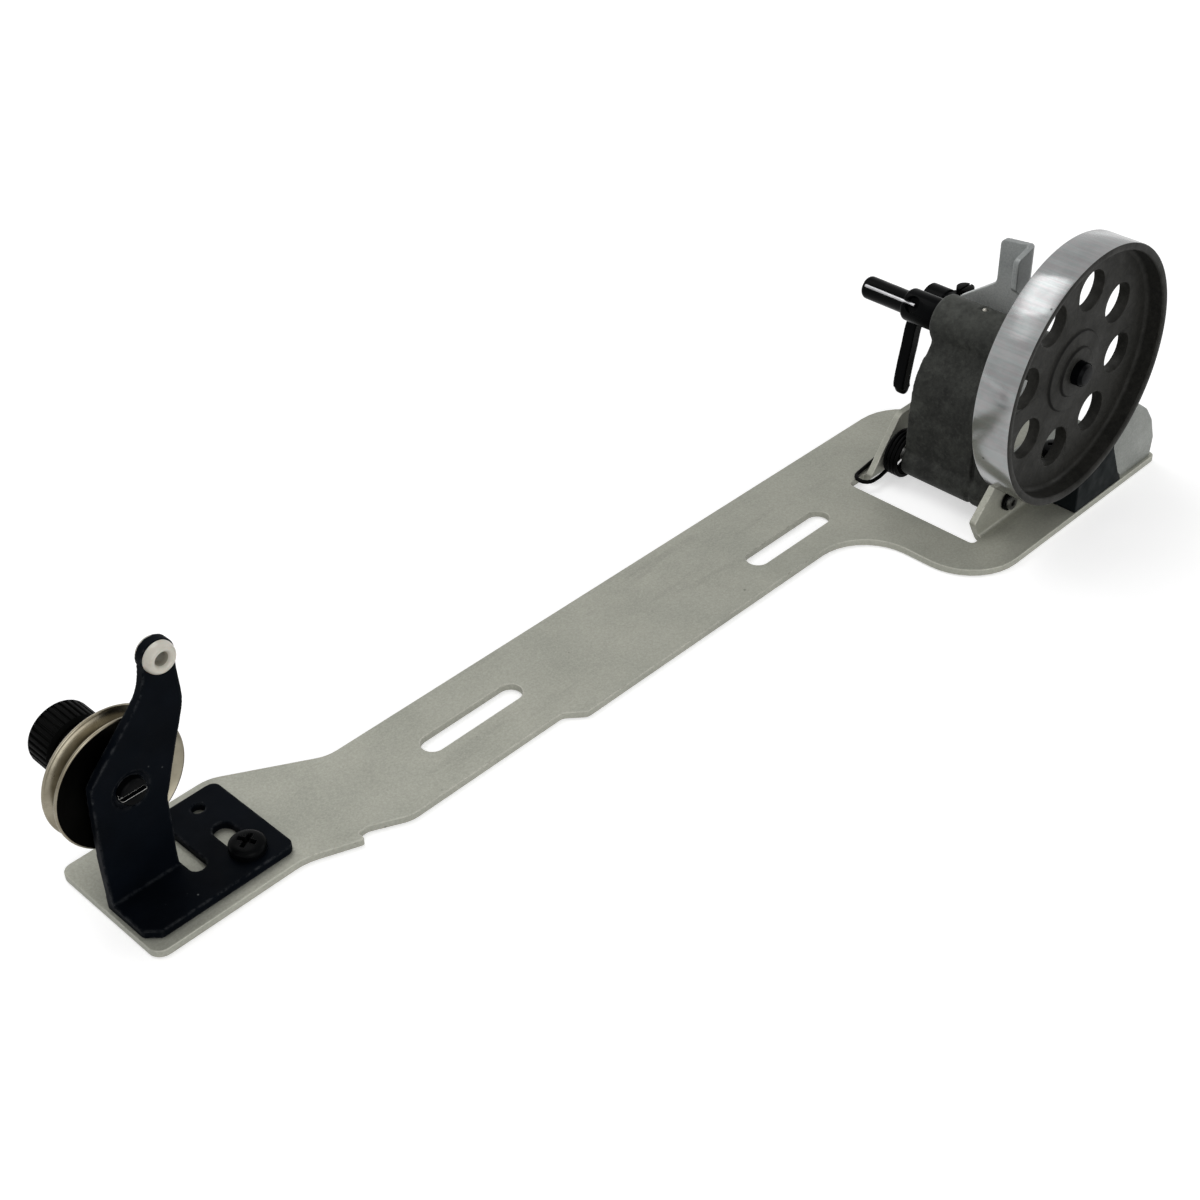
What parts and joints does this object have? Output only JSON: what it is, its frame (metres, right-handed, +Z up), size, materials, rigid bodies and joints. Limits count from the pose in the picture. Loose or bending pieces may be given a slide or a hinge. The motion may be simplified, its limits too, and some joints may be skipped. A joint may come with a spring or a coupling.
{
  "type": "sewing bobbin winder",
  "caption": "Bench bobbin winder: a belt wheel and spindle on a tilting frame, with a trip finger, thumb lever and brake, on a long slotted plate with a thread tension unit.",
  "frame": {"origin": "on the plate's underside, below the spindle axis", "axes": "+X from the tension end to the wheel end, +Y along the spindle towards the bobbin pin, +Z up from the bench"},
  "size_m": [0.2843, 0.0882, 0.0755],
  "materials": {
    "plate": "matt zinc plated",
    "zinc": "matt zinc plated",
    "hinge_steel": "satin",
    "spring_steel": "blackened",
    "bright_wire": "bright",
    "black_steel": "blackened, semi-gloss",
    "blue_black": "blackened, satin",
    "cast": "dark grey, matt",
    "bronze": "sintered",
    "wheel_steel": "turned rim, blackened web",
    "block_rubber": "matt black",
    "eyelet_white": "glossy",
    "disc_nickel": "nickel plated",
    "nut_black": "black, fine grips"
  },
  "bodies": {
    "plate": {"base_plate": "plate", "hinge_pin": "hinge_steel", "hinge_clip": "spring_steel", "return_spring": "spring_steel", "brake_bracket": "zinc", "brake_block": "block_rubber", "brake_screw": "black_steel", "bracket_screw": "black_steel"},
    "frame": {"winder_frame": "cast", "near_bush": "bronze", "far_bush": "bronze", "latch_shaft": "hinge_steel", "shaft_clip": "spring_steel", "latch_spring": "spring_steel"},
    "spindle": {"spindle": "black_steel", "bobbin_spring": "bright_wire", "wheel": "wheel_steel", "wheel_screw": "black_steel"},
    "latch": {"trip_latch": "black_steel", "adjusting_screw": "black_steel"},
    "lever": {"thumb_lever": "zinc"},
    "tension": {"tension_bracket": "blue_black", "thread_eyelet": "eyelet_white", "tension_stud": "blue_black", "tension_spring": "spring_steel", "pressure_washer": "black_steel"},
    "near_disc": {"near_disc": "disc_nickel"},
    "far_disc": {"far_disc": "disc_nickel"},
    "nut": {"thumb_nut": "nut_black"}
  },
  "joints": [
    {"name": "frame_tilt", "type": "hinge", "parent": "plate", "child": "frame", "pos_m": [-0.0098, -0.0219, 0.0071], "axis": [0, -1, 0], "range_deg": [0, 12], "stiffness_Nm_per_rad": 0.15, "springref_deg": -28.65},
    {"name": "wheel_spin", "type": "hinge", "parent": "frame", "child": "spindle", "pos_m": [0, -0.025, 0.0428], "axis": [0, 1, 0], "continuous": true},
    {"name": "latch_swing", "type": "hinge", "parent": "frame", "child": "latch", "pos_m": [0.016, 0, 0.0355], "axis": [0, 1, 0], "range_deg": [0, 25], "stiffness_Nm_per_rad": 0.004, "springref_deg": -34.38},
    {"name": "lever_swing", "type": "hinge", "parent": "frame", "child": "lever", "pos_m": [0.016, -0.0174, 0.0355], "axis": [0, -1, 0], "range_deg": [0, 8]},
    {"name": "tension_slide", "type": "slide", "parent": "plate", "child": "tension", "axis": [0, 1, 0], "range_m": [-0.0083, 0.0003]},
    {"name": "near_disc_spin", "type": "hinge", "parent": "tension", "child": "near_disc", "pos_m": [-0.2296, 0.0141, 0.0287], "axis": [0, 1, 0], "continuous": true},
    {"name": "far_disc_spin", "type": "hinge", "parent": "tension", "child": "far_disc", "pos_m": [-0.2296, 0.0166, 0.0287], "axis": [0, 1, 0], "continuous": true},
    {"name": "nut_turn", "type": "hinge", "parent": "tension", "child": "nut", "pos_m": [-0.2296, 0.0301, 0.0287], "axis": [0, 1, 0], "range_deg": [-180, 540]}
  ],
  "couplings": [
    {"joint": "lever_swing", "follows": "frame_tilt", "ratio": 0.6667}
  ]
}
